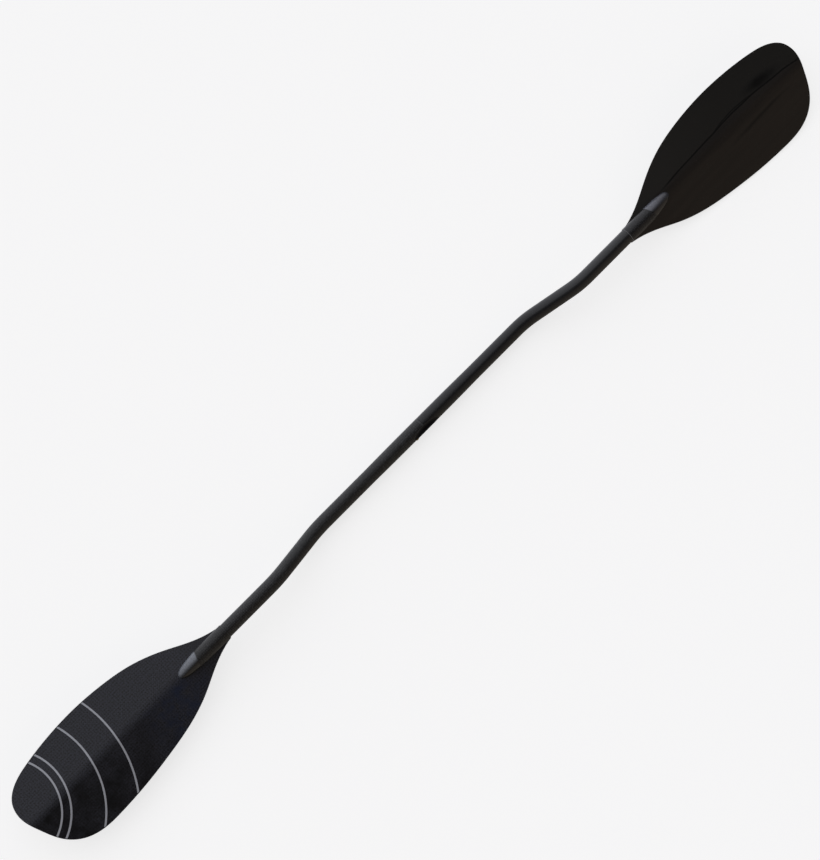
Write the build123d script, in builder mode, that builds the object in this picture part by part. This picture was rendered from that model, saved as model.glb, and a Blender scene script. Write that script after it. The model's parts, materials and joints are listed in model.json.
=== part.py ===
"""Two-piece cranked-shaft kayak paddle with foam-core dihedral blades.

Row frame, millimetres: the origin is on the shaft's axis at the joint between the two halves, +X runs along
the straight middle of the shaft to the right blade, and +Z points up, away from the floor that the paddle
lies on with its power faces up. Each blade is drawn in a blade frame of its own: local x runs out along the
neck, local z is the power face's normal, and local y lies across the blade.
"""
from build123d import *
from math import cos, degrees, radians, sin, tan
import os

# Side -1 is the left half and side 1 the right half.
SIDE_NAMES = {-1: "left", 1: "right"}

# Lie of the two halves about the shaft's axis, in degrees from +Z towards -Y
BLADE_TILT = {-1: 4.0, 1: 19.0}  # power face's normal, so the feather is 15 degrees
CRANK_LEAD = 18.5  # the crank leans this much further than the blade's normal

# Shaft
SHAFT_R = 13.9
BORE_R = 12.3
JOINT_R = 14.6  # the shaft swells towards the joint
JOINT_FLAT = 35.0
SWELL_END = 135.0
SWELL_END_R = 13.85
CRANK_OFFSET = 42.3
CRANK_ANGLE = 20.0
CRANK_CENTRE = 331.0
CRANK_BEND_R = 125.0
SHAFT_END = 580.0
MOUTH_BREAK = 0.4  # small bevel round each half's mouth at the joint
BOND = 0.05  # gap that glue fills between two pieces
PLUG_BREAK = 1.0
PLUG_R = BORE_R - BOND

# Ferrule, snap button, its spring and the alignment patches
FERRULE_R = 12.25
FERRULE_BORE_R = 10.75
FERRULE_OUT = 110.0  # length that enters the left half
FERRULE_BONDED = 70.0  # length bonded into the right half
FERRULE_LEAD_IN = 0.6
BUTTON_X = -25.0
BUTTON_TURN = 90.0  # the button's way out, in degrees from +Z towards -Y
BUTTON_R = 3.0
BUTTON_HOLE_R = 3.1
BUTTON_LOW = 9.55
BUTTON_TOP = 15.8
BUTTON_DOME = 1.2
SPRING_THICK = 0.6
SPRING_WIDTH = 6.0
SPRING_BEND_R = 2.4
PATCH_TURN = 62.0  # of the patch's middle, in degrees from +Z towards -Y
PATCH_LENGTH = 30.0
PATCH_HALF_WIDTH = 10.0
PATCH_THICK = 0.2
PATCH_GAP = 0.1
PATCH_CLEARANCE = 0.6
END_PLUG_LENGTH = 18.0
BULKHEAD_START = -150.0
BULKHEAD_LENGTH = 15.0
FERRULE_PLUG_LENGTH = 12.0

# Neck socket: its tongue's sections are ellipses, (x, half width, top, bottom) in the blade frame
SOCKET_R = 15.0
SOCKET_MOUTH = 520.0
TONGUE_SECTIONS = [(SHAFT_END, SOCKET_R, SOCKET_R, -SOCKET_R), (600, 13.6, 10.4, -14.6), (613, 12.0, 6.4, -14.0),
                   (623, 9.9, 2.2, -13.5), (630, 7.0, -2.4, -12.9), (634, 3.2, -7.0, -11.8)]
BEAD_LENGTH = 1.2

# Blade, in the blade frame
BLADE_START = 505.0
BLADE_REACH = 1030.0
HALF_SPAN = 115.0
DEPTH = 70.0  # more than any face of the blade is from the neck's axis
LAMINATE = 0.8
SKIN_BOND = 0.02
RIM_WIDTH = 7.0
POWER_CROWN = -7.4  # height of the power face's ridge at BLADE_START
SCOOP_R = 8350.0  # the power face's ridge line bends up along this arc
DIHEDRAL = 8.0
RIDGE_R = 65.0
# The back face's sections are (x, height in the middle, crosswise radius).
BACK_SECTIONS = [(505, -16.0, 3000), (650, -15.9, 900), (780, -12.6, 740), (900, -5.6, 500), (964, 0.4, 305),
                 (1015, 4.9, 200)]
OUTLINE_LONG_SIDE = [(521, 14.5), (545, 19.8), (580, 33.5), (622, 55.2), (680, 78), (740, 89.5), (805, 94.2),
                     (870, 91.5), (930, 83), (967, 72), (991, 53)]
OUTLINE_TIP = [(999.5, 22), (991, -14)]
OUTLINE_SHORT_SIDE = [(972, -57.5), (949, -80), (916, -92.8), (872, -95.2), (800, -90.8), (735, -82.4), (680, -72.2),
                      (622, -53.2), (580, -33.2), (545, -19.8), (521, -14.5)]

# Printed ripples on the left blade: arcs about one point near the tip
RIPPLE_CENTRE = (1012, 44)
RIPPLE_RADII = [230, 172, 112, 96]  # from the widest, because each disc covers the narrower rings
RIPPLE_WIDTH = 3.4
RIPPLE_THICK = 0.2
RIPPLE_MARGIN = 1.5


def turned(angle):
    """Unit vector at this many degrees from +Z towards -Y."""
    return Vector(0, -sin(radians(angle)), cos(radians(angle)))


def crank_direction(side):
    return turned(BLADE_TILT[side] + CRANK_LEAD)


def blade_frame(side):
    """Plane on the neck's axis, with x outwards and z along the power face's normal."""
    return Plane(origin=crank_direction(side) * CRANK_OFFSET, x_dir=(side, 0, 0), z_dir=turned(BLADE_TILT[side]))


def section_plane(side, x):
    """Plane across the blade at local x, with its y along the power face's normal."""
    frame = blade_frame(side)
    return Plane(origin=frame.from_local_coords(Vector(x, 0, 0)), x_dir=frame.y_dir, z_dir=frame.x_dir)


def button_plane(height=0.0):
    """Plane across the snap button, this far from the shaft's axis along the button's way out."""
    way_out = turned(BUTTON_TURN)
    return Plane(origin=Vector(BUTTON_X, 0, 0) + way_out * height, x_dir=(1, 0, 0), z_dir=way_out)


# Shaft

def shaft_route(side):
    """Centreline of one half: straight middle, crank and straight neck."""
    outward = Vector(side, 0, 0)
    plane = Plane(origin=(0, 0, 0), x_dir=outward, z_dir=outward.cross(crank_direction(side)))
    half_run = CRANK_OFFSET / tan(radians(CRANK_ANGLE)) / 2
    with BuildLine(plane) as route:
        FilletPolyline(
            (0, 0),
            (CRANK_CENTRE - half_run, 0),
            (CRANK_CENTRE + half_run, CRANK_OFFSET),
            (SHAFT_END, CRANK_OFFSET),
            radius=CRANK_BEND_R,
        )
    return route.wire()


def make_shaft(side):
    """Tube with a gentle swelling at the joint. The left one has the hole that the button snaps into."""
    route = shaft_route(side)
    mouth = Plane(origin=(0, 0, 0), z_dir=(side, 0, 0))
    mouth_r = JOINT_R - MOUTH_BREAK
    with BuildPart() as shaft:
        with BuildSketch(mouth):
            Circle(SHAFT_R)
        sweep(path=route)
        with BuildSketch(Plane.XY):
            with BuildLine():
                Polyline((side * SWELL_END, SWELL_END_R), (side * SWELL_END, 0), (0, 0), (0, mouth_r))
                Polyline((0, mouth_r), (side * MOUTH_BREAK, JOINT_R), (side * JOINT_FLAT, JOINT_R))
                TangentArc((side * JOINT_FLAT, JOINT_R), (side * SWELL_END, SWELL_END_R), tangent=(side, 0))
            make_face()
        revolve(axis=Axis.X)
        with BuildSketch(mouth):
            Circle(BORE_R)
        sweep(path=route, mode=Mode.SUBTRACT)
        if side < 0:
            with BuildSketch(button_plane()):
                Circle(BUTTON_HOLE_R)
            extrude(amount=BUTTON_TOP, mode=Mode.SUBTRACT)
    shaft.part.label = f"{SIDE_NAMES[side]}_shaft"
    return shaft.part


# Joint hardware

def make_ferrule():
    """Male ferrule: bonded into the right half, and slid into the left."""
    with BuildPart() as ferrule:
        with BuildSketch(Plane.YZ.offset(-FERRULE_OUT)):
            Circle(FERRULE_R)
            Circle(FERRULE_BORE_R, mode=Mode.SUBTRACT)
        extrude(amount=FERRULE_OUT + FERRULE_BONDED)
        tip_rims = ferrule.edges().filter_by(GeomType.CIRCLE).group_by(Axis.X)[0]
        chamfer(tip_rims.sort_by(SortBy.RADIUS)[-1], FERRULE_LEAD_IN)
        with BuildSketch(button_plane()):
            Circle(BUTTON_HOLE_R)
        extrude(amount=BUTTON_TOP, mode=Mode.SUBTRACT)
    ferrule.part.label = "male_ferrule"
    return ferrule.part


def make_button():
    with BuildPart() as button:
        with BuildSketch(button_plane(BUTTON_LOW)):
            Circle(BUTTON_R)
        extrude(amount=BUTTON_TOP - BUTTON_LOW)
        rims = button.edges().filter_by(GeomType.CIRCLE)
        fillet(rims.sort_by(Axis((0, 0, 0), turned(BUTTON_TURN)))[-1], BUTTON_DOME)
    button.part.label = "snap_button"
    return button.part


def make_button_spring():
    """V of spring strip: one leg lies under the button, and the other foot bears on the far wall."""
    side_view = Plane(origin=(BUTTON_X, 0, 0), x_dir=(1, 0, 0), z_dir=Vector(1, 0, 0).cross(turned(BUTTON_TURN)))
    under_button = BUTTON_LOW - BOND - SPRING_THICK / 2
    with BuildPart() as spring:
        with BuildSketch(side_view):
            with BuildLine() as strip:
                FilletPolyline(
                    (7, under_button),
                    (-7, under_button),
                    (-50, 2.8),
                    (-56, 0),
                    (-50, -2.8),
                    (2, -9.6),
                    radius=SPRING_BEND_R,
                )
            trace(strip.line, line_width=SPRING_THICK)
        extrude(amount=SPRING_WIDTH / 2, both=True)
    spring.part.label = "button_spring"
    return spring.part


def make_plug(plane, length, radius, label):
    """Closed-cell foam plug with eased rims."""
    with BuildPart() as plug:
        with BuildSketch(plane):
            Circle(radius)
        extrude(amount=length)
        chamfer(plug.edges().filter_by(GeomType.CIRCLE), PLUG_BREAK)
    plug.part.label = label
    return plug.part


def make_index_patch(side):
    """Half of the thin oval patch that shows how the two halves line up."""
    inner_r = JOINT_R + SKIN_BOND
    with BuildPart() as patch:
        with BuildSketch(Plane(origin=(side * PATCH_GAP, 0, 0), z_dir=(side, 0, 0))):
            Circle(inner_r + PATCH_THICK)
            Circle(inner_r, mode=Mode.SUBTRACT)
        extrude(amount=PATCH_LENGTH)
        with BuildSketch(Plane(origin=(0, 0, 0), x_dir=(1, 0, 0), z_dir=turned(PATCH_TURN))):
            Ellipse(PATCH_LENGTH, PATCH_HALF_WIDTH)
        extrude(amount=inner_r + PATCH_THICK, mode=Mode.INTERSECT)
        with BuildSketch(button_plane()):
            Circle(BUTTON_HOLE_R + PATCH_CLEARANCE)
        extrude(amount=BUTTON_TOP, mode=Mode.SUBTRACT)
    patch.part.label = f"{SIDE_NAMES[side]}_index_patch"
    return patch.part


# Neck

def make_neck_envelope(side, grow=0.0):
    """Outer volume of the neck: a sleeve over the shaft's end that runs out in a blunt tongue."""
    with BuildPart() as neck:
        with BuildSketch(section_plane(side, SOCKET_MOUTH)):
            Circle(SOCKET_R + grow)
        extrude(amount=SHAFT_END - SOCKET_MOUTH)
        for x, half_width, top, bottom in TONGUE_SECTIONS:
            with BuildSketch(section_plane(side, x)):
                with Locations((0, (top + bottom) / 2)):
                    Ellipse(half_width + grow, (top - bottom) / 2 + grow)
        loft()
    return neck.part


def make_neck_socket(side):
    envelope = make_neck_envelope(side)
    with BuildPart() as socket:
        add(envelope)
        with BuildSketch(section_plane(side, SOCKET_MOUTH)):
            Circle(SHAFT_R + BOND)
        extrude(amount=SHAFT_END - SOCKET_MOUTH, mode=Mode.SUBTRACT)
    socket.part.label = f"{SIDE_NAMES[side]}_neck_socket"
    return socket.part


def make_glue_ring(side):
    """Bead of epoxy squeezed out round the socket's mouth."""
    with BuildPart() as bead:
        with BuildSketch(section_plane(side, SOCKET_MOUTH - BEAD_LENGTH)):
            Circle(SOCKET_R)
            Circle(SHAFT_R + BOND, mode=Mode.SUBTRACT)
        extrude(amount=BEAD_LENGTH)
        inner_face = bead.faces().sort_by(Axis((0, 0, 0), (side, 0, 0)))[0]
        outer_rim = inner_face.edges().sort_by(SortBy.RADIUS)[-1]
        chamfer(outer_rim, (SOCKET_R - SHAFT_R - BOND) * 0.7)
    bead.part.label = f"{SIDE_NAMES[side]}_glue_ring"
    return bead.part


# Blade

def draw_outline(side, inset=0.0):
    """Blade outline, with the long edge towards the same side of the paddle on both blades."""
    corners = [Vector(x, side * y) for x, y in OUTLINE_LONG_SIDE + OUTLINE_TIP + OUTLINE_SHORT_SIDE]
    befores = corners[:1] + corners[:-1]
    afters = corners[1:] + corners[-1:]
    along = [(after - before).normalized() for before, after in zip(befores, afters)]
    points = [corner + Vector(way.Y, -way.X) * side * inset for corner, way in zip(corners, along)]
    with BuildSketch(blade_frame(side)) as outline:
        with BuildLine():
            Spline(*points)
            Line(points[-1], points[0])
        make_face()
    return outline.sketch


def make_under_power(side, drop=0.0):
    """Everything below the power face: a roof section with a rounded ridge, swung about a far axis."""
    crown = POWER_CROWN - drop
    knuckle = RIDGE_R * sin(radians(DIHEDRAL))
    shoulder = crown - RIDGE_R * (1 - cos(radians(DIHEDRAL)))
    eave = shoulder - (HALF_SPAN - knuckle) * tan(radians(DIHEDRAL))
    frame = blade_frame(side)
    hub = frame.from_local_coords(Vector(BLADE_START, 0, POWER_CROWN + SCOOP_R))
    with BuildPart() as under:
        with BuildSketch(section_plane(side, BLADE_START)):
            with BuildLine():
                ThreePointArc((-knuckle, shoulder), (0, crown), (knuckle, shoulder))
                Polyline((knuckle, shoulder), (HALF_SPAN, eave), (HALF_SPAN, -DEPTH))
                Polyline((HALF_SPAN, -DEPTH), (-HALF_SPAN, -DEPTH), (-HALF_SPAN, eave), (-knuckle, shoulder))
            make_face()
        revolve(axis=Axis(hub, frame.y_dir * -1), revolution_arc=degrees((BLADE_REACH - BLADE_START) / SCOOP_R))
    return under.part


def make_above_back(side, lift=0.0):
    """Everything above the back face, which is lofted through arcs that tighten towards the tip."""
    with BuildPart() as above:
        for x, middle, radius in BACK_SECTIONS:
            crest = middle + lift
            edge = crest - HALF_SPAN ** 2 / (2 * radius)
            with BuildSketch(section_plane(side, x)):
                with BuildLine():
                    ThreePointArc((-HALF_SPAN, edge), (0, crest), (HALF_SPAN, edge))
                    Polyline((HALF_SPAN, edge), (HALF_SPAN, DEPTH), (-HALF_SPAN, DEPTH), (-HALF_SPAN, edge))
                make_face()
        loft()
    return above.part


def make_power_skin(side):
    surface = make_under_power(side)
    underside = make_under_power(side, LAMINATE)
    neck = make_neck_envelope(side, BOND)
    with BuildPart() as skin:
        add(draw_outline(side))
        extrude(amount=DEPTH, both=True)
        add(surface, mode=Mode.INTERSECT)
        add(underside, mode=Mode.SUBTRACT)
        add(neck, mode=Mode.SUBTRACT)
    skin.part.label = f"{SIDE_NAMES[side]}_power_skin"
    return skin.part


def make_back_skin(side):
    surface = make_above_back(side)
    inside = make_above_back(side, LAMINATE)
    neck = make_neck_envelope(side, BOND)
    with BuildPart() as skin:
        add(draw_outline(side))
        extrude(amount=DEPTH, both=True)
        add(surface, mode=Mode.INTERSECT)
        add(inside, mode=Mode.SUBTRACT)
        add(neck, mode=Mode.SUBTRACT)
    skin.part.label = f"{SIDE_NAMES[side]}_back_skin"
    return skin.part


def make_edge_band(side):
    """Solid laminate rim between the two skins."""
    ceiling = make_under_power(side, LAMINATE + SKIN_BOND)
    floor = make_above_back(side, LAMINATE + SKIN_BOND)
    neck = make_neck_envelope(side, BOND)
    with BuildPart() as band:
        add(draw_outline(side))
        extrude(amount=DEPTH, both=True)
        add(draw_outline(side, RIM_WIDTH))
        extrude(amount=DEPTH, both=True, mode=Mode.SUBTRACT)
        add(ceiling, mode=Mode.INTERSECT)
        add(floor, mode=Mode.INTERSECT)
        add(neck, mode=Mode.SUBTRACT)
    band.part.label = f"{SIDE_NAMES[side]}_edge_band"
    return band.part


def make_foam_core(side):
    ceiling = make_under_power(side, LAMINATE + SKIN_BOND)
    floor = make_above_back(side, LAMINATE + SKIN_BOND)
    neck = make_neck_envelope(side, BOND)
    with BuildPart() as core:
        add(draw_outline(side, RIM_WIDTH + SKIN_BOND))
        extrude(amount=DEPTH, both=True)
        add(ceiling, mode=Mode.INTERSECT)
        add(floor, mode=Mode.INTERSECT)
        add(neck, mode=Mode.SUBTRACT)
    core.part.label = f"{SIDE_NAMES[side]}_foam_core"
    return core.part


def make_ripple_graphic(side):
    """Four thin printed arcs, like ripples, near the tip of the power face."""
    centre_x, centre_y = RIPPLE_CENTRE
    top = make_under_power(side, -RIPPLE_THICK - SKIN_BOND)
    bottom = make_under_power(side, -SKIN_BOND)
    with BuildPart() as graphic:
        with BuildSketch(blade_frame(side)):
            with Locations((centre_x, side * centre_y)):
                for radius in RIPPLE_RADII:
                    Circle(radius + RIPPLE_WIDTH / 2)
                    Circle(radius - RIPPLE_WIDTH / 2, mode=Mode.SUBTRACT)
        extrude(amount=DEPTH, both=True)
        add(draw_outline(side, RIPPLE_MARGIN))
        extrude(amount=DEPTH, both=True, mode=Mode.INTERSECT)
        add(top, mode=Mode.INTERSECT)
        add(bottom, mode=Mode.SUBTRACT)
    graphic.part.label = f"{SIDE_NAMES[side]}_blade_graphic"
    return graphic.part


ferrule_plug_plane = Plane.YZ.offset(-FERRULE_OUT + 2 * PLUG_BREAK)
pieces = [
    make_ferrule(),
    make_button(),
    make_button_spring(),
    make_plug(ferrule_plug_plane, FERRULE_PLUG_LENGTH, FERRULE_BORE_R - BOND, "ferrule_plug"),
    make_plug(Plane.YZ.offset(BULKHEAD_START), BULKHEAD_LENGTH, PLUG_R, "left_bulkhead_plug"),
    make_ripple_graphic(-1),
]
for side, name in SIDE_NAMES.items():
    end_plug_plane = section_plane(side, SHAFT_END - END_PLUG_LENGTH)
    pieces += [
        make_shaft(side),
        make_plug(end_plug_plane, END_PLUG_LENGTH - PLUG_BREAK, PLUG_R, f"{name}_shaft_end_plug"),
        make_index_patch(side),
        make_neck_socket(side),
        make_glue_ring(side),
        make_power_skin(side),
        make_back_skin(side),
        make_edge_band(side),
        make_foam_core(side),
    ]

os.makedirs("parts", exist_ok=True)
for piece in pieces:
    export_step(piece, f"parts/{piece.label}.step")
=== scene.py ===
"""Looks for the two-piece kayak paddle: carbon laminates, print, small hardware, floor, light and camera."""
import json
import math

import bpy
from mathutils import Matrix, Vector


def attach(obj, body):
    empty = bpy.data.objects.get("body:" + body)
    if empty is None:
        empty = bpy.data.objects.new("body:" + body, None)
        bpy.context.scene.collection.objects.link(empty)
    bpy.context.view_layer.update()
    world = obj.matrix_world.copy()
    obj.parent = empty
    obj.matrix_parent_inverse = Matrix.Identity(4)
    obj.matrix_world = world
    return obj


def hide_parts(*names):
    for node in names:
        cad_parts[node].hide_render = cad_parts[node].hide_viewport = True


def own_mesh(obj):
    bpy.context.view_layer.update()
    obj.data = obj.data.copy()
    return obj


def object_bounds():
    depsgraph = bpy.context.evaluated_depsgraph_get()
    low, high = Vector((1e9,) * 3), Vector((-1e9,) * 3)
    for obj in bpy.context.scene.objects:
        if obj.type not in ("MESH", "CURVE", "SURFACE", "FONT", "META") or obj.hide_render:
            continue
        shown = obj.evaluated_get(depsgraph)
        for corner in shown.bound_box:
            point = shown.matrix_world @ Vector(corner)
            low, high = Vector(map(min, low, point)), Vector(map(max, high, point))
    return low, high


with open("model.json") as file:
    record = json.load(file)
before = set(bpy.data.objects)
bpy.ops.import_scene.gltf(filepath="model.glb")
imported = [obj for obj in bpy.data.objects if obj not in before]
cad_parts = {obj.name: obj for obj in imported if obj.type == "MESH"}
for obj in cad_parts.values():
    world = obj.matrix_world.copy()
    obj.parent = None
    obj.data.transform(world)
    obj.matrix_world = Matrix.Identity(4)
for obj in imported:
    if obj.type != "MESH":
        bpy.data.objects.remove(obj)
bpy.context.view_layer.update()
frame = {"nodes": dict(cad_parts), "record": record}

# Distances are in metres and places are in the row frame.

# Camera, which looks down on the power faces from a little to the left of the joint
CAMERA_DISTANCE = 3.505
CAMERA_TO_LEFT = math.radians(7.67)
CAMERA_TO_FRONT = math.radians(4.4)
CAMERA_REACH = 1000
SHAFT_SLOPE = math.radians(45.05)  # of the shaft in the picture
PICTURE = (820, 860)
FOCAL_PX = 1901.5
SENSOR = 36.0
JOINT_OFF_CENTRE = (11.6, 5.8)  # of the joint in the picture: px to the right of its centre and above it

# Places on the paddle
BLADE_TILT = {"left": math.radians(4), "right": math.radians(19)}  # power face's, from +Z towards -Y
NECK_OFF_SHAFT = 0.01342  # across the blade, from the shaft's axis to the neck's
NECK_AXIS_Y = {"left": -0.0162, "right": -0.0257}
CRANK_CENTRE = 0.331

# Resin cap on each tongue, with a painted highlight on its long-edge side
CAP_START = {"left": 0.582, "right": 0.570}
CAP_EDGE = 0.002
CAP_HIGHLIGHT_FADE_FROM = 0.590
CAP_END = 0.632
CAP_HIGHLIGHT_AT_END = {"left": 1.0, "right": 0.45}  # share of the painted highlight that is left at the cap's end
CAP_CLEAR = (0.012, 0.0115, 0.011)
# Colour of each cap's painted highlight
CAP_HIGHLIGHT_COLOUR = {"left": (0.19, 0.205, 0.235), "right": (0.135, 0.14, 0.17)}

# Index patch, a blue-black film that stands in for shade on the shaft at the joint (painted shade): half its
# length, and half its width round the shaft
PATCH_HALF = (0.041, 0.0155)
PATCH_R = 0.0148
PATCH_SHADE_DARKEST = math.radians(80)  # of the painted shade's darkest line, from +Z towards -Y

# Cloth: the tows' widths, its relief, and the fibres' noise scales
BLADE_TOW = 0.0034
TUBE_TOW = 0.0026
TUBE_CLOTH_R = 0.01325
CLOTH_RELIEF = 0.0003
BLADE_FIBRES = 330.0
TUBE_FIBRES = 380.0

# Sky's colours, by the sine of the lean from overhead: 1 is low behind the paddle and -1 low in front
SKY = [
    (-1.0, (0.255, 0.228, 0.185)),
    (-0.70, (0.21, 0.175, 0.15)),
    (-0.30, (0.065, 0.063, 0.062)),
    (-0.12, (0.08, 0.08, 0.085)),
    (0.0, (0.18, 0.18, 0.19)),
    (0.25, (0.42, 0.42, 0.44)),
    (0.60, (0.61, 0.615, 0.65)),
    (1.0, (0.80, 0.81, 0.86)),
]
SKY_STRENGTH = 1.25
FLOOR_SIZE = 400
FLOOR_GREY = 0.45
FLOOR_GLOW = 0.732


class Graph:
    """Builds a material's node tree. A number or a socket can be given wherever a value goes."""

    def __init__(self, name):
        self.material = bpy.data.materials.new(name)
        self.material.use_nodes = True
        self.tree = self.material.node_tree
        self.shader = self.tree.nodes["Principled BSDF"]

    def node(self, kind, **settings):
        node = self.tree.nodes.new(kind)
        for key, value in settings.items():
            setattr(node, key, value)
        return node

    def plug(self, value, socket):
        if isinstance(value, bpy.types.NodeSocket):
            self.tree.links.new(value, socket)
        else:
            socket.default_value = value

    def math(self, operation, *values):
        node = self.node("ShaderNodeMath", operation=operation)
        for value, socket in zip(values, node.inputs):
            self.plug(value, socket)
        return node.outputs[0]

    def coordinates(self, output):
        source = self.node("ShaderNodeTexCoord")
        parts = self.node("ShaderNodeSeparateXYZ")
        self.plug(source.outputs[output], parts.inputs[0])
        return parts.outputs

    def place(self):
        """The point's x, y and z in the row frame."""
        return self.coordinates("Object")

    def normal(self):
        """The surface normal's x, y and z."""
        return self.coordinates("Normal")

    def vector(self, x, y, z):
        node = self.node("ShaderNodeCombineXYZ")
        for value, socket in zip((x, y, z), node.inputs):
            self.plug(value, socket)
        return node.outputs[0]

    def noise(self, where, scale, detail=2.0, roughness=0.5):
        node = self.node("ShaderNodeTexNoise")
        self.plug(where, node.inputs["Vector"])
        self.plug(scale, node.inputs["Scale"])
        self.plug(detail, node.inputs["Detail"])
        self.plug(roughness, node.inputs["Roughness"])
        return node.outputs["Fac"]

    def spread(self, value, low, high, to_low=0.0, to_high=1.0):
        """Goes from to_low to to_high as value goes from low to high, and stays there beyond."""
        node = self.node("ShaderNodeMapRange")
        for number, socket in zip((value, low, high, to_low, to_high), node.inputs):
            self.plug(number, socket)
        return node.outputs[0]

    def blend(self, factor, a, b):
        """a where factor is 0, b where it is 1. a and b are colours."""
        node = self.node("ShaderNodeMix", data_type="RGBA")
        self.plug(factor, node.inputs["Factor"])
        self.plug(a if isinstance(a, bpy.types.NodeSocket) else (*a, 1), node.inputs["A"])
        self.plug(b if isinstance(b, bpy.types.NodeSocket) else (*b, 1), node.inputs["B"])
        return node.outputs["Result"]

    def bump(self, height, distance, strength=1.0):
        node = self.node("ShaderNodeBump")
        self.plug(height, node.inputs["Height"])
        self.plug(distance, node.inputs["Distance"])
        self.plug(strength, node.inputs["Strength"])
        self.plug(node.outputs[0], self.shader.inputs["Normal"])

    def set(self, **values):
        """Sets or links the shader's inputs. An underscore stands for a space in an input's name."""
        for key, value in values.items():
            self.plug(value, self.shader.inputs[key.replace("_", " ")])


def weave(g, u, v, tow):
    """Plain weave of tows this wide. Returns which way the top tow runs (0 or 1) and the cloth's height."""
    def ripple(value):
        return g.math("ABSOLUTE", g.math("SINE", g.math("MULTIPLY", value, math.pi / tow)))

    def cell(value):
        return g.math("FLOOR", g.math("DIVIDE", value, tow))

    over = g.math("MODULO", g.math("ABSOLUTE", g.math("ADD", cell(u), cell(v))), 2.0)
    crown = g.math("MULTIPLY", ripple(u), ripple(v))
    return over, crown


def diagonals(g, along, across):
    """The same place measured along the two bias directions."""
    u = g.math("MULTIPLY", g.math("ADD", along, across), math.sqrt(0.5))
    v = g.math("MULTIPLY", g.math("SUBTRACT", along, across), math.sqrt(0.5))
    return u, v


def blade_place(g, side):
    """Distance out along the shaft's axis, and distance across the blade from the neck's axis."""
    x, y, z = g.place()
    tilt = BLADE_TILT[side]
    out = g.math("ABSOLUTE", x)
    across = g.math("ADD", g.math("MULTIPLY", y, math.cos(tilt)), g.math("MULTIPLY", z, math.sin(tilt)))
    return out, g.math("ADD", across, NECK_OFF_SHAFT)


def left_blade():
    """Satin carbon cloth whose weave shows, tinted bluish as painted reflection, with painted fibre glints,
    painted bluish reflections near the neck, painted dark mottling towards the tip and painted shade beside
    the neck.
    """
    g = Graph("blade_carbon_left")
    out, across = blade_place(g, "left")
    where = g.vector(out, across, 0.0)
    short_side = g.spread(across, -0.010, 0.004, 1.0, 0.0)

    # Woven tows, tinted bluish as painted reflection, with painted glints of bright fibres
    over, crown = weave(g, *diagonals(g, out, across), BLADE_TOW)
    fine = g.noise(where, BLADE_FIBRES, 2.0, 0.7)
    colour = g.blend(over, (0.0010, 0.0010, 0.0018), (0.0180, 0.0185, 0.0250))
    colour = g.blend(g.spread(fine, 0.42, 0.62, 0.0, 0.8), colour, (0.034, 0.036, 0.052))

    # Painted bluish reflections in patches on the short side, 0.67 m out
    near_neck = g.spread(g.math("ABSOLUTE", g.math("SUBTRACT", out, 0.670)), 0.02, 0.09, 1.0, 0.0)
    reflection_noise = g.noise(where, 48.0, 3.0, 0.6)
    blue = g.math("MULTIPLY", near_neck, g.spread(reflection_noise, 0.38, 0.68, 0.0, 0.90))
    colour = g.blend(g.math("MULTIPLY", blue, short_side), colour, (0.005, 0.012, 0.036))

    # Painted dark mottling, patchy painted shade where reflections fade, on the short side from the middle to
    # the tip
    cloud = g.noise(where, 26.0, 3.0, 0.6)
    dark = g.math("MULTIPLY", g.spread(out, 0.66, 0.82), g.spread(cloud, 0.34, 0.64, 1.0, 0.30))
    dark = g.math("MULTIPLY", dark, short_side)
    colour = g.blend(dark, colour, (0.0015, 0.0016, 0.0024))

    # Painted shade beside the neck, on the long side
    painted_shade_by_neck = g.math("MULTIPLY", g.spread(out, 0.570, 0.612, 0.65, 0.0), g.spread(across, 0.006, 0.016))
    colour = g.blend(painted_shade_by_neck, colour, (0.002, 0.002, 0.003))

    g.set(Base_Color=colour, Roughness=g.spread(fine, 0.3, 0.7, 0.28, 0.44))
    g.set(Specular_IOR_Level=g.spread(dark, 0.0, 1.0, 0.5, 0.32))
    g.bump(g.math("ADD", crown, fine), CLOTH_RELIEF, 0.5)
    return g.material


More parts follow.
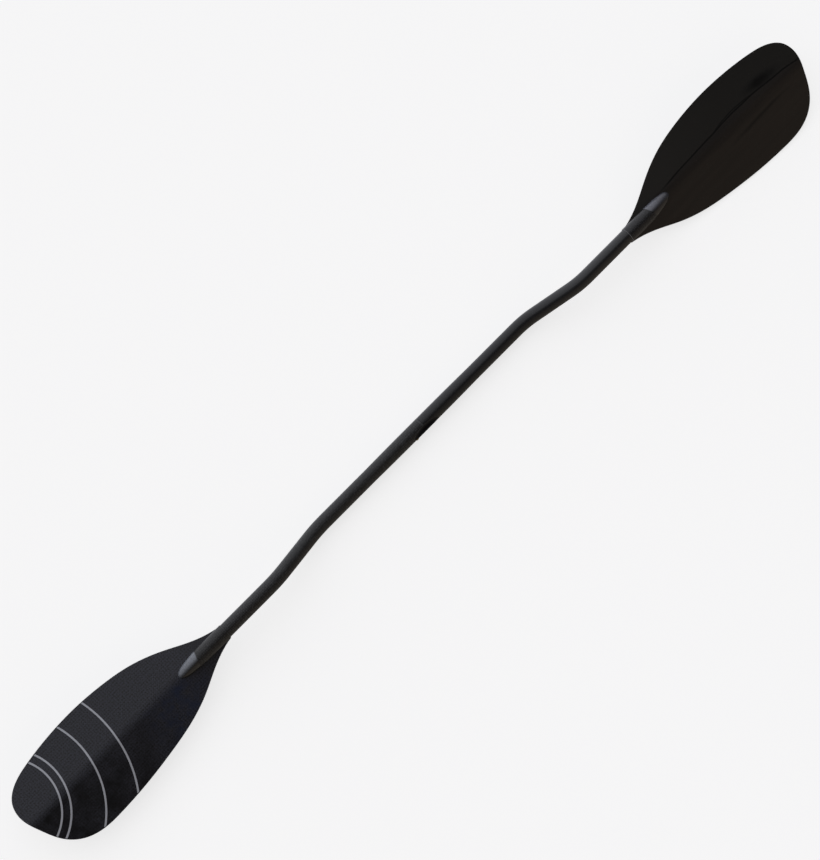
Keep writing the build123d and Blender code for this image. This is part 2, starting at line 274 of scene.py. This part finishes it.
def right_blade():
    """Smooth dark resin with painted reflection tones, olive-black on its long half and warm brown on its
    short half, a thin dark line of painted reflection along its ridge, and faint marks from the layup.
    """
    g = Graph("blade_carbon_right")
    out, across = blade_place(g, "right")
    where = g.vector(out, across, 0.0)

    # The line, painted dark reflection along the ridge, 10 mm off the neck's axis on the long side and 22.5
    # mm at 0.85 m, wanders a little.
    wobble = g.math("MULTIPLY", g.math("SUBTRACT", g.noise(where, 14.0, 1.0), 0.5), 0.006)
    before = g.spread(out, 0.600, 0.850, 1.0, 0.0)
    after = g.spread(out, 0.850, 0.990, 0.0, 1.0)
    sag = g.math("ADD", g.math("MULTIPLY", before, before), g.math("MULTIPLY", after, after))
    ridge = g.math("ADD", g.math("SUBTRACT", 0.0225, g.math("MULTIPLY", sag, 0.0125)), wobble)
    off_line = g.math("SUBTRACT", across, ridge)
    line = g.spread(g.math("ABSOLUTE", off_line), 0.0009, 0.0024, 0.85, 0.0)
    line = g.math("MULTIPLY", line, g.spread(out, 0.615, 0.650))

    # Painted reflection tones: olive on the line's long side, lighter towards the neck, and warm brown with
    # streaks on the other
    cloud = g.noise(where, 18.0, 3.0, 0.6)
    stretched = g.vector(g.math("MULTIPLY", out, 6.0), g.math("MULTIPLY", across, 90.0), 0.0)
    streaked = g.noise(stretched, 1.0, 3.0, 0.6)
    olive = g.blend(cloud, (0.0072, 0.0060, 0.0042), (0.0110, 0.0096, 0.0068))
    olive = g.blend(g.spread(out, 0.60, 0.82, 0.8, 0.0), olive, (0.018, 0.0165, 0.0135))
    brown = g.blend(g.spread(streaked, 0.3, 0.7), (0.0075, 0.0052, 0.0036), (0.0135, 0.0098, 0.0070))
    colour = g.blend(g.spread(off_line, -0.004, 0.004), brown, olive)

    # A second line of painted dark reflection that forks off the first and joins it again
    fork = g.math("MULTIPLY", g.math("SUBTRACT", out, 0.775), g.math("SUBTRACT", 0.885, out))
    fork = g.math("MULTIPLY", g.math("MAXIMUM", fork, 0.0), 1.3)
    twin = g.math("ABSOLUTE", g.math("SUBTRACT", off_line, fork))
    twin = g.math("MULTIPLY", g.spread(twin, 0.0006, 0.0026, 0.75, 0.0), g.spread(fork, 0.0002, 0.0012))

    # A faint streak on the short side
    streak = g.math("ABSOLUTE", g.math("ADD", off_line, g.spread(out, 0.78, 0.96, 0.046, 0.034)))
    streak = g.math("MULTIPLY", g.spread(streak, 0.0005, 0.0050, 0.40, 0.0), g.spread(out, 0.78, 0.84))
    streak = g.math("MULTIPLY", streak, g.spread(out, 0.90, 0.96, 1.0, 0.0))
    # The ridge line and its fork are painted reflection; the streak is a faint mark.
    lines = g.math("MAXIMUM", g.math("MAXIMUM", line, twin), streak)
    colour = g.blend(lines, colour, (0.0008, 0.0008, 0.0007))

    # A dark smudge near the tip, and a few pale specks
    along = g.math("DIVIDE", g.math("SUBTRACT", out, 0.914), 0.056)
    sideways = g.math("DIVIDE", g.math("SUBTRACT", off_line, 0.0115), 0.0150)
    smudge = g.math("ADD", g.math("MULTIPLY", along, along), g.math("MULTIPLY", sideways, sideways))
    smudge = g.spread(g.math("ADD", smudge, cloud), 0.5, 1.6, 0.85, 0.0)
    colour = g.blend(smudge, colour, (0.001, 0.001, 0.0009))
    specks = g.spread(g.noise(where, BLADE_FIBRES, 1.0), 0.72, 0.78, 0.0, 0.6)
    colour = g.blend(specks, colour, (0.05, 0.048, 0.042))

    dull = g.math("MAXIMUM", lines, smudge)
    g.set(Base_Color=colour, Roughness=g.spread(dull, 0.0, 1.0, 0.34, 0.75))
    g.set(Specular_IOR_Level=g.spread(dull, 0.0, 1.0, 0.5, 0.12))
    g.bump(cloud, 0.0004, 0.25)
    return g.material


def simple(name, colour, rough, metal=0.0):
    """Slightly cloudy plain finish for small, hidden or printed pieces."""
    g = Graph(name)
    x, y, z = g.place()
    cloud = g.noise(g.vector(x, y, z), 60.0)
    dark = tuple(c * 0.8 for c in colour)
    g.set(Base_Color=g.blend(cloud, dark, colour), Roughness=rough, Metallic=metal)
    return g.material


def tube_cloth(g, dark, light):
    """Bias-laid cloth round a tube along X: its colour, with painted glints of bright fibres, and its height.
    """
    x, y, z = g.place()
    nx, ny, nz = g.normal()
    around = g.math("MULTIPLY", g.math("ARCTAN2", ny, nz), TUBE_CLOTH_R)
    over, crown = weave(g, *diagonals(g, x, around), TUBE_TOW)
    fine = g.noise(g.vector(x, y, z), TUBE_FIBRES, 2.0, 0.7)
    colour = g.blend(g.spread(fine, 0.40, 0.56, 0.2, 1.0), dark, g.blend(over, dark, light))
    # Painted glints: the brightest fibres are painted paler than the light tows.
    bright = tuple(c * 1.7 for c in light)
    colour = g.blend(g.spread(fine, 0.52, 0.68, 0.0, 0.7), colour, bright)
    return colour, g.math("ADD", crown, fine), fine


def tube_material(name, dark, light, rough, weave_bump, outer_gloss=None, mouth_strip=None):
    """Woven tube. outer_gloss is the specular level beyond the crank, mouth_strip the strength of a paler
    strip just short of the joint.
    """
    g = Graph(name)
    colour, height, fine = tube_cloth(g, dark, light)
    x, y, z = g.place()
    if mouth_strip:
        mouth = g.math("MULTIPLY", g.spread(x, -0.0040, -0.0030), g.spread(x, -0.0004, 0.0, 1.0, 0.0))
        colour = g.blend(g.math("MULTIPLY", mouth, mouth_strip), colour, (0.060, 0.062, 0.066))
    g.set(Base_Color=colour, Roughness=rough)
    if outer_gloss:
        out = g.math("ABSOLUTE", x)
        g.set(Specular_IOR_Level=g.spread(out, CRANK_CENTRE - 0.06, CRANK_CENTRE + 0.08, 0.5, outer_gloss))
    g.bump(height, CLOTH_RELIEF, weave_bump)
    return g.material


def neck_material(side, dark, light, rough):
    """Woven sleeve with a glossy resin cap over its tongue. The cap has a painted highlight on its long-edge
    side.
    """
    g = Graph(f"neck_carbon_{side}")
    sleeve, height, fine = tube_cloth(g, dark, light)
    x, y, z = g.place()
    out = g.math("ABSOLUTE", x)
    slanted = g.math("ADD", out, g.math("MULTIPLY", y, 0.35))
    cap = g.spread(slanted, CAP_START[side], CAP_START[side] + CAP_EDGE)
    # Painted highlight on the cap's long-edge side, speckled and fading towards its end
    painted_highlight = g.spread(g.math("SUBTRACT", y, NECK_AXIS_Y[side]), -0.0045, 0.0035)
    painted_highlight = g.math("MULTIPLY", painted_highlight, g.spread(fine, 0.30, 0.60, 0.6, 1.0))
    painted_highlight = g.math("MULTIPLY", painted_highlight, g.spread(out, CAP_HIGHLIGHT_FADE_FROM, CAP_END, 1.0, CAP_HIGHLIGHT_AT_END[side]))
    resin = g.blend(painted_highlight, CAP_CLEAR, CAP_HIGHLIGHT_COLOUR[side])
    g.set(Base_Color=g.blend(cap, sleeve, resin), Roughness=g.spread(cap, 0.0, 1.0, rough, 0.18))
    g.set(Specular_IOR_Level=g.spread(cap, 0.0, 1.0, 0.5, 0.75))
    g.bump(g.math("MULTIPLY", height, g.spread(cap, 0.0, 1.0, 1.0, 0.2)), CLOTH_RELIEF, 0.6)
    return g.material


def index_vinyl():
    """Blue-black film that stands in for shade on the shaft (painted shade), darkest along one line and paler
    towards the rim of its oval.
    """
    g = Graph("index_vinyl")
    x, y, z = g.place()
    nx, ny, nz = g.normal()
    turn = g.math("SUBTRACT", g.math("ARCTAN2", g.math("MULTIPLY", ny, -1.0), nz), PATCH_SHADE_DARKEST)
    across = g.math("DIVIDE", g.math("MULTIPLY", turn, PATCH_R), PATCH_HALF[1])
    along = g.math("DIVIDE", x, PATCH_HALF[0])
    rim = g.math("ADD", g.math("MULTIPLY", along, along), g.math("MULTIPLY", across, across))
    # Painted shade: near black inside, dark grey at the rim
    colour = g.blend(g.spread(rim, 0.40, 1.05), (0.0010, 0.0013, 0.0032), (0.0100, 0.0098, 0.0094))
    g.set(Base_Color=colour, Roughness=g.spread(rim, 0.40, 1.05, 0.6, 0.34))
    g.set(Specular_IOR_Level=g.spread(rim, 0.40, 1.05, 0.08, 0.5))
    return g.material


slot_materials = {
    "edge_laminate": simple("edge_laminate", (0.012, 0.012, 0.013), 0.5),
    "ferrule_carbon": tube_material("ferrule_carbon", (0.012, 0.012, 0.013), (0.03, 0.03, 0.032), 0.4, 0.5),
    "core_foam": simple("core_foam", (0.8, 0.76, 0.66), 0.9),
    "plug_foam": simple("plug_foam", (0.05, 0.05, 0.052), 0.95),
    "silver_ink": simple("silver_ink", (0.56, 0.58, 0.63), 0.45),
    "index_vinyl": index_vinyl(),
    "button_brass": simple("button_brass", (0.5, 0.36, 0.14), 0.3, 1.0),
    "spring_steel": simple("spring_steel", (0.5, 0.5, 0.5), 0.3, 1.0),
}
# The left and right copies differ partly by painted reflection: the bluish left blade, the olive and brown
# right blade and the bluish tint of the right shaft.
side_materials = {
    ("blade_carbon", "left"): left_blade(),
    ("blade_carbon", "right"): right_blade(),
    ("shaft_carbon", "left"): tube_material(
        "shaft_carbon_left", (0.003, 0.003, 0.003), (0.027, 0.028, 0.029), 0.36, 0.8, mouth_strip=0.4,
    ),
    ("shaft_carbon", "right"): tube_material(
        "shaft_carbon_right", (0.0055, 0.0057, 0.0066), (0.0105, 0.0108, 0.0124), 0.27, 0.2, outer_gloss=0.66,
    ),
    ("neck_carbon", "left"): neck_material("left", (0.004, 0.004, 0.004), (0.022, 0.022, 0.022), 0.36),
    ("neck_carbon", "right"): neck_material("right", (0.004, 0.004, 0.0046), (0.016, 0.016, 0.0185), 0.26),
    ("epoxy_bead", "left"): simple("epoxy_bead_left", (0.03, 0.03, 0.031), 0.3),
    ("epoxy_bead", "right"): simple("epoxy_bead_right", (0.13, 0.13, 0.135), 0.35),
}

# Each node gets its slot's material, and the slots that differ from side to side go by the node's name.
slots = {part["node"]: part["material_slot"] for part in frame["record"]["subparts"]}
for name, node in frame["nodes"].items():
    slot = slots[name]
    material = slot_materials.get(slot) or side_materials[slot, name.split("_")[0]]
    for material_slot in node.material_slots:
        material_slot.material = material

# The spring in the ferrule flattens across the tube as the button goes in, so a copy stands for its node.
spring = bpy.data.objects.new("button_spring_strip", frame["nodes"]["button_spring"].data.copy())
bpy.context.scene.collection.objects.link(spring)
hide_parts("button_spring")
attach(spring, "right_half")
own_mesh(spring)

# Floor: it glows a little, so that shadows on it stay faint.
floor_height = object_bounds()[0][2]
bpy.ops.mesh.primitive_plane_add(size=FLOOR_SIZE, location=(0, 0, floor_height))
floor = bpy.context.object
floor.name = "floor"
g = Graph("floor_paper")
g.set(Base_Color=(FLOOR_GREY, FLOOR_GREY, FLOOR_GREY, 1), Roughness=0.95, Specular_IOR_Level=0.0)
g.set(Emission_Color=(1, 1, 1, 1), Emission_Strength=FLOOR_GLOW)
floor.data.materials.append(g.material)
floor.visible_glossy = False


# Camera
def camera_axes():
    """Right, up and towards-the-camera unit vectors of the picture."""
    toward = Vector((
        -math.sin(CAMERA_TO_LEFT),
        -math.sin(CAMERA_TO_FRONT) * math.cos(CAMERA_TO_LEFT),
        math.cos(CAMERA_TO_FRONT) * math.cos(CAMERA_TO_LEFT),
    ))
    along = Vector((1, 0, 0))
    along = (along - along.dot(toward) * toward).normalized()
    across = toward.cross(along)
    right = along * math.cos(SHAFT_SLOPE) - across * math.sin(SHAFT_SLOPE)
    up = along * math.sin(SHAFT_SLOPE) + across * math.cos(SHAFT_SLOPE)
    return right, up, toward


right, up, toward = camera_axes()
camera = bpy.data.objects.new("camera", bpy.data.cameras.new("camera"))
bpy.context.scene.collection.objects.link(camera)
axes = Matrix((right, up, toward)).transposed()
camera.matrix_world = Matrix.Translation(toward * CAMERA_DISTANCE) @ axes.to_4x4()
camera.data.sensor_width = SENSOR
camera.data.lens = FOCAL_PX / max(PICTURE) * SENSOR
camera.data.shift_x = -JOINT_OFF_CENTRE[0] / max(PICTURE)
camera.data.shift_y = -JOINT_OFF_CENTRE[1] / max(PICTURE)
camera.data.clip_end = CAMERA_REACH
bpy.context.scene.camera = camera


# Light
def make_sky(across):
    """Smooth sky: bright low down behind the paddle, dark overhead, and dim and warm in front."""
    world = bpy.data.worlds.new("studio")
    bpy.context.scene.world = world
    world.use_nodes = True
    tree = world.node_tree
    background = tree.nodes["Background"]
    direction = tree.nodes.new("ShaderNodeTexCoord").outputs["Generated"]
    lean = tree.nodes.new("ShaderNodeVectorMath")
    lean.operation = "DOT_PRODUCT"
    lean.inputs[1].default_value = across
    tree.links.new(direction, lean.inputs[0])
    centred = tree.nodes.new("ShaderNodeMath")
    centred.operation = "MULTIPLY_ADD"
    centred.inputs[1].default_value = 0.5
    centred.inputs[2].default_value = 0.5
    tree.links.new(lean.outputs["Value"], centred.inputs[0])
    ramp = tree.nodes.new("ShaderNodeValToRGB")
    tree.links.new(centred.outputs[0], ramp.inputs[0])
    stops = ramp.color_ramp.elements
    stops.remove(stops[-1])
    stops[0].position = 0.0
    stops[0].color = (*SKY[0][1], 1)
    for lean_sine, colour in SKY[1:]:
        stop = stops.new((lean_sine + 1) / 2)
        stop.color = (*colour, 1)
    tree.links.new(ramp.outputs[0], background.inputs[0])
    background.inputs[1].default_value = SKY_STRENGTH


make_sky(toward.cross(Vector((1, 0, 0))).normalized())
bpy.context.scene.view_settings.view_transform = "Standard"
